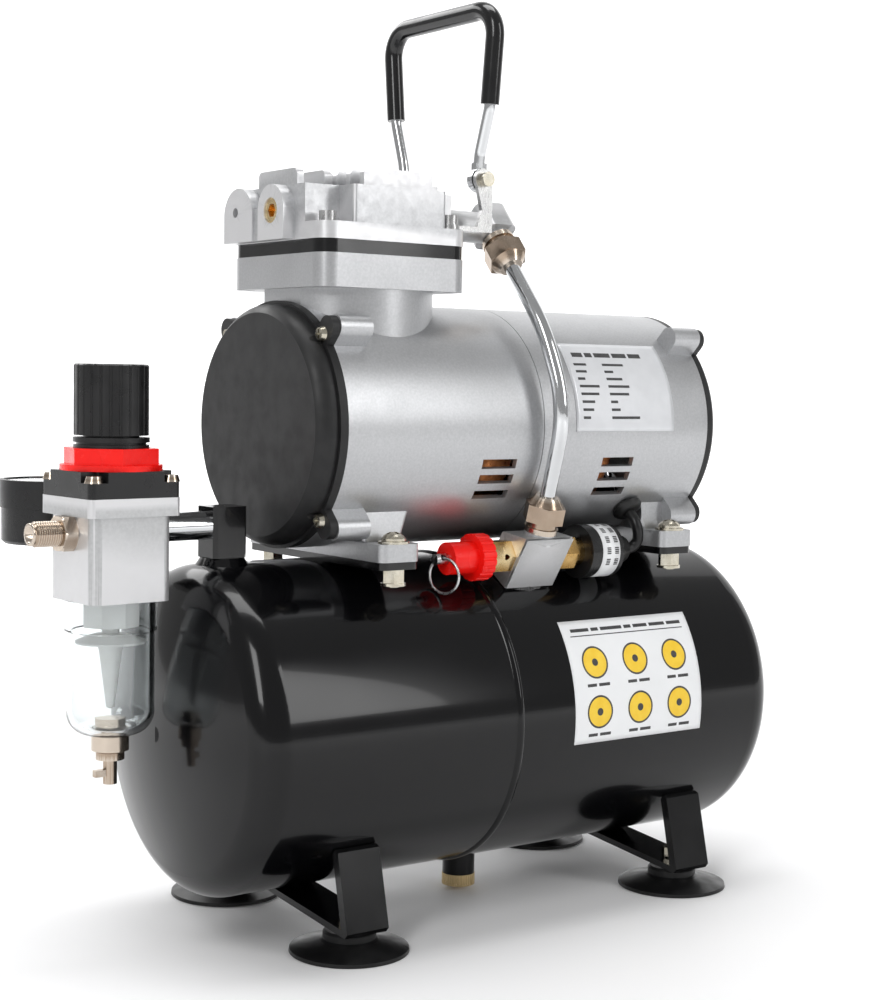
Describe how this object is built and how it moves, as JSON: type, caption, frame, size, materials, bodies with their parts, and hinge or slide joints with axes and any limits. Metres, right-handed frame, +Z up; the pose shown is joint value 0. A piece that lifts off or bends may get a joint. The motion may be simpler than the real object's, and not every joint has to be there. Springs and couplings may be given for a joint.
{
  "type": "airbrush compressor",
  "caption": "Airbrush compressor: oil-free piston pump and motor on a small air tank, with carrying handle, filter regulator, gauge, relief valve and pressure switch.",
  "frame": {"origin": "on the floor under the centre of the bounding box", "axes": "+Z up; +X along the tank from the regulator end to the fan end; -Y towards the relief valve side"},
  "size_m": [0.3428, 0.145, 0.3804],
  "materials": {
    "tank_paint": "gloss black enamel",
    "bracket_paint": "gloss black enamel",
    "cap_paint": "satin black, fine cast texture",
    "gloss_black": "gloss black",
    "housing_alloy": "satin silver paint on cast alloy",
    "cast_alloy": "bright die-cast",
    "zinc_steel": "zinc plated",
    "lamination_steel": "bare steel",
    "chrome": "bright plated",
    "nickel": "nickel plated",
    "brass": "turned brass",
    "copper": "enamelled copper wire",
    "rubber": "matt black",
    "black_plastic": "moulded black",
    "white_plastic": "moulded white",
    "red_plastic": "moulded red",
    "clear_plastic": "clear polycarbonate"
  },
  "bodies": {
    "frame": {"bonnet_screws": "nickel", "cap_screws": "zinc_steel", "compression_nuts": "nickel", "cylinder_liner": "cast_alloy", "delivery_tube": "nickel", "drain_seat": "nickel", "filter_bowl": "clear_plastic", "filter_element": "white_plastic", "foot_nuts": "zinc_steel", "foot_straps": "bracket_paint", "front_cap": "cap_paint", "front_housing": "housing_alloy", "gauge_case": "black_plastic", "gauge_lens": "clear_plastic", "handle_pins": "zinc_steel", "handle_tabs": "zinc_steel", "head_cover": "cast_alloy", "head_screws": "zinc_steel", "inlet_elbow": "cap_paint", "inlet_pipe": "chrome", "lead_grommet": "rubber", "manifold_block": "cast_alloy", "motor_brackets": "bracket_paint", "motor_mount_bolts": "zinc_steel", "outlet_elbow": "nickel", "outlet_nipple": "brass", "panel_nut": "red_plastic", "port_plug": "brass", "pressure_switch_body": "black_plastic", "pressure_switch_cup": "brass", "rear_cap": "cap_paint", "rear_housing": "housing_alloy", "reed_valves": "lamination_steel", "regulator_body": "cast_alloy", "regulator_bonnet": "black_plastic", "safety_valve_body": "brass", "safety_valve_cap": "red_plastic", "shaft_bearings": "chrome", "stator_coils": "copper", "stator_core": "lamination_steel", "suction_feet": "rubber", "switch_lead": "rubber", "tank_left_half": "tank_paint", "tank_right_half": "tank_paint", "valve_plate": "gloss_black"},
    "crankshaft": {"motor_shaft": "lamination_steel", "rotor": "lamination_steel", "cooling_fan": "black_plastic", "crank_eccentric": "zinc_steel"},
    "piston": {"connecting_rod": "cast_alloy", "piston_seal": "rubber"},
    "handle": {"handle_bail": "chrome", "handle_grip": "rubber"},
    "adjuster": {"adjusting_screw": "zinc_steel"},
    "knob": {"pressure_knob": "black_plastic"},
    "needle": {"gauge_needle": "red_plastic"},
    "valve_pin": {"safety_valve_pin": "zinc_steel"},
    "valve_ring": {"pull_ring": "chrome"},
    "tank_drain": {"drain_screw": "brass"},
    "bowl_drain": {"drain_stem": "nickel"}
  },
  "joints": [
    {"name": "crank_spin", "type": "hinge", "parent": "frame", "child": "crankshaft", "pos_m": [0, 0, 0.2049], "axis": [1, 0, 0], "continuous": true},
    {"name": "piston_stroke", "type": "slide", "parent": "frame", "child": "piston", "axis": [0, 0, 1], "range_m": [-0.004, 0.004]},
    {"name": "handle_swing", "type": "hinge", "parent": "frame", "child": "handle", "pos_m": [0.0177, 0, 0.3071], "axis": [0, 1, 0], "range_deg": [-75, 95]},
    {"name": "pressure_turn", "type": "hinge", "parent": "frame", "child": "adjuster", "pos_m": [-0.13712, -0.00279, 0.195], "axis": [0, 0, 1], "range_deg": [-720, 720]},
    {"name": "knob_lift", "type": "slide", "parent": "adjuster", "child": "knob", "axis": [0, 0, 1], "range_m": [0, 0.0035]},
    {"name": "needle_swing", "type": "hinge", "parent": "frame", "child": "needle", "pos_m": [-0.13983, 0.04563, 0.178], "axis": [0, 0, 1], "range_deg": [-270, 0], "stiffness_Nm_per_rad": 0.0001},
    {"name": "relief_pull", "type": "slide", "parent": "frame", "child": "valve_pin", "axis": [-1, 0, 0], "range_m": [0, 0.003], "stiffness_N_per_m": 400, "springref_m": -0.002},
    {"name": "ring_swing", "type": "hinge", "parent": "valve_pin", "child": "valve_ring", "pos_m": [-0.0088, -0.0398, 0.1513], "axis": [0.3009, -0.8827, 0.3611], "range_deg": [-25, 8]},
    {"name": "drain_turn", "type": "hinge", "parent": "frame", "child": "tank_drain", "pos_m": [0.0336, 0, 0.004], "axis": [0, 0, 1], "range_deg": [0, 360]},
    {"name": "bowl_drain_push", "type": "slide", "parent": "frame", "child": "bowl_drain", "axis": [0, 0, 1], "range_m": [0, 0.003], "stiffness_N_per_m": 150, "springref_m": -0.002}
  ]
}
